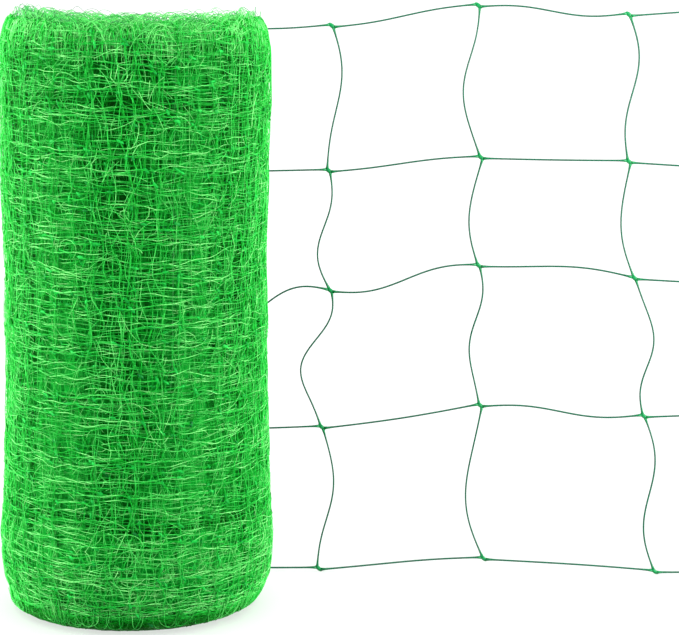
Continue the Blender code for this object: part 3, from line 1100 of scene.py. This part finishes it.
def new_material(name, roughness, specular):
    material = bpy.data.materials.new(name)
    material.use_nodes = True
    nodes = material.node_tree.nodes
    shader = nodes["Principled BSDF"]
    set_inputs(shader, {"Roughness": roughness, "Specular IOR Level": specular})
    return material, nodes, material.node_tree.links, shader


def new_math(nodes, operation):
    node = nodes.new("ShaderNodeMath")
    node.operation = operation
    return node


def new_attribute(nodes, name):
    node = nodes.new("ShaderNodeAttribute")
    node.attribute_name = name
    return node


def new_ramp(nodes, stops):
    node = nodes.new("ShaderNodeValToRGB")
    elements = node.color_ramp.elements
    while len(elements) < len(stops):
        elements.new(0.5)
    for element, (place, colour) in zip(elements, stops):
        element.position = place
        element.color = (*colour, 1.0)
    return node


def tone_material(finish):
    """Plastic whose colour follows the strand's tone, mottled a little along it."""
    material, nodes, links, shader = new_material(finish.name, finish.roughness, finish.specular)
    tone = new_attribute(nodes, "tone")
    place = nodes.new("ShaderNodeTexCoord")
    noise = nodes.new("ShaderNodeTexNoise")
    set_inputs(noise, {"Scale": MOTTLE_SCALE, "Detail": NOISE_DETAIL})
    sway = new_math(nodes, "MULTIPLY_ADD")
    set_inputs(sway, {1: finish.mottle, 2: -0.5 * finish.mottle})
    total = new_math(nodes, "ADD")
    ramp = new_ramp(nodes, finish.stops)
    blueness = new_attribute(nodes, "blueness")
    tint = nodes.new("ShaderNodeMix")
    tint.data_type = "RGBA"
    tint.blend_type = "ADD"
    set_inputs(tint, {"B": (*KNOT_TINT, 1.0)})
    links.new(place.outputs["Object"], noise.inputs["Vector"])
    links.new(noise.outputs["Fac"], sway.inputs[0])
    links.new(sway.outputs["Value"], total.inputs[0])
    links.new(tone.outputs["Fac"], total.inputs[1])
    links.new(total.outputs["Value"], ramp.inputs["Fac"])
    links.new(blueness.outputs["Fac"], tint.inputs["Factor"])
    links.new(ramp.outputs["Color"], tint.inputs["A"])
    links.new(tint.outputs["Result"], shader.inputs["Base Color"])
    return material


def streak_noise(nodes, links, place, streaks):
    mapping = nodes.new("ShaderNodeMapping")
    set_inputs(mapping, {"Scale": streaks.stretch})
    noise = nodes.new("ShaderNodeTexNoise")
    set_inputs(noise, {"Scale": streaks.scale, "Detail": NOISE_DETAIL, "Distortion": STREAK_DISTORTION})
    links.new(place.outputs["Object"], mapping.inputs["Vector"])
    links.new(mapping.outputs["Vector"], noise.inputs["Vector"])
    return noise


def core_material():
    """The deep turns: dark green, painted shade deep in the winding, with the streaks of strands both ways.
    """
    material, nodes, links, shader = new_material("deep_turns", CORE_ROUGHNESS, CORE_SPECULAR)
    place = nodes.new("ShaderNodeTexCoord")
    round_streaks = streak_noise(nodes, links, place, ROUND_STREAKS)
    up_streaks = streak_noise(nodes, links, place, UP_STREAKS)
    most = new_math(nodes, "MAXIMUM")
    tone = new_attribute(nodes, "tone")
    total = new_math(nodes, "ADD")
    ramp = new_ramp(nodes, CORE_STOPS)
    bump = nodes.new("ShaderNodeBump")
    set_inputs(bump, {"Distance": CORE_BUMP})
    links.new(round_streaks.outputs["Fac"], most.inputs[0])
    links.new(up_streaks.outputs["Fac"], most.inputs[1])
    links.new(most.outputs["Value"], total.inputs[0])
    links.new(tone.outputs["Fac"], total.inputs[1])
    links.new(total.outputs["Value"], ramp.inputs["Fac"])
    links.new(most.outputs["Value"], bump.inputs["Height"])
    links.new(bump.outputs["Normal"], shader.inputs["Normal"])
    links.new(ramp.outputs["Color"], shader.inputs["Base Color"])
    return material


# The stage

FLOOR_REACH = 800.0
FLOOR_COLOUR = (0.93, 0.93, 0.93, 1.0)
FLOOR_ROUGHNESS = 0.9

# Lights for the part alone, so that the white floor isn't overexposed behind its thin strands
Softbox = namedtuple("Softbox", "name place size power")
SOFTBOXES = [
    Softbox("left_softbox", (-1.4, -0.30, 0.55), (1.5, 1.6), 112.0),
    Softbox("right_softbox", (1.4, -0.45, 0.55), (1.5, 1.6), 82.0),
    Softbox("top_softbox", (0.1, -0.6, 2.0), (1.2, 0.8), 31.0),
]
LIGHTS_AIM = (0.0, 0.0, 0.32)
BACKDROP_LIGHT = 2.2
# The sky's strength at the horizon, and how much it grows towards the zenith
SKY_LEVEL = 0.26
SKY_RISE = 0.48
WHITE = (1.0, 1.0, 1.0, 1.0)

CAMERA_PLACE = (0.2082, -2.113, 0.6338)
CAMERA_PITCH = math.radians(8.89)
CAMERA_ROLL = math.radians(0.596)
CAMERA_LENS = 110.4
CAMERA_SENSOR = 36.0


def make_stage():
    mesh = bpy.data.meshes.new("floor")
    corners = [(x * FLOOR_REACH, y * FLOOR_REACH, 0.0) for x, y in ((-1, -1), (1, -1), (1, 1), (-1, 1))]
    mesh.from_pydata(corners, [], [(0, 1, 2, 3)])
    floor = new_object("floor", mesh)
    material, _, _, shader = new_material("pale_floor", FLOOR_ROUGHNESS, 0.0)
    set_inputs(shader, {"Base Color": FLOOR_COLOUR})
    mesh.materials.append(material)
    return floor


def make_sky():
    world = bpy.data.worlds.new("studio")
    world.use_nodes = True
    nodes = world.node_tree.nodes
    links = world.node_tree.links
    heading = nodes.new("ShaderNodeTexCoord")
    parts = nodes.new("ShaderNodeSeparateXYZ")
    strength = new_math(nodes, "MULTIPLY_ADD")
    set_inputs(strength, {1: SKY_RISE, 2: SKY_LEVEL})
    links.new(heading.outputs["Generated"], parts.inputs["Vector"])
    links.new(parts.outputs["Z"], strength.inputs[0])
    links.new(strength.outputs["Value"], nodes["Background"].inputs["Strength"])
    set_inputs(nodes["Background"], {"Color": WHITE})
    bpy.context.scene.world = world


def add_softbox(softbox, receivers):
    light = bpy.data.lights.new(softbox.name, "AREA")
    light.shape = "RECTANGLE"
    light.size, light.size_y = softbox.size
    light.energy = softbox.power
    lamp = new_object(softbox.name, light)
    lamp.location = softbox.place
    lamp.rotation_euler = (Vector(LIGHTS_AIM) - Vector(softbox.place)).to_track_quat("-Z", "Y").to_euler()
    lamp.light_linking.receiver_collection = receivers


def add_backdrop_light(receivers):
    """A light from straight above for the floor alone, which keeps it white."""
    sun = bpy.data.lights.new("backdrop_light", "SUN")
    sun.energy = BACKDROP_LIGHT
    sun.use_shadow = False
    new_object("backdrop_light", sun).light_linking.receiver_collection = receivers


def make_lights(pieces, floor):
    lit_pieces = bpy.data.collections.new("lit_pieces")
    for piece in pieces:
        lit_pieces.objects.link(piece)
    lit_floor = bpy.data.collections.new("lit_floor")
    lit_floor.objects.link(floor)
    make_sky()
    for softbox in SOFTBOXES:
        add_softbox(softbox, lit_pieces)
    add_backdrop_light(lit_floor)


def make_camera():
    data = bpy.data.cameras.new("camera")
    data.lens = CAMERA_LENS
    data.sensor_width = CAMERA_SENSOR
    camera = new_object("camera", data)
    camera.matrix_world = (
        Matrix.Translation(CAMERA_PLACE)
        @ Matrix.Rotation(math.pi / 2.0 - CAMERA_PITCH, 4, "X")
        @ Matrix.Rotation(CAMERA_ROLL, 4, "Z")
    )
    bpy.context.scene.camera = camera
    bpy.context.scene.view_settings.view_transform = "Standard"


make_camera()
floor = make_stage()
strands = tone_material(WOUND_FINISH)
pieces = make_windings(strands) + [
    make_slack_arcs(strands),
    make_edge_loops(strands),
    make_crown_loops(CROWN, strands),
    make_crown_loops(HALO, tone_material(HALO_FINISH)),
    make_end_windings(strands),
    make_core(core_material()),
    make_loose_end(tone_material(LOOSE_FINISH)),
]
make_lights(pieces, floor)
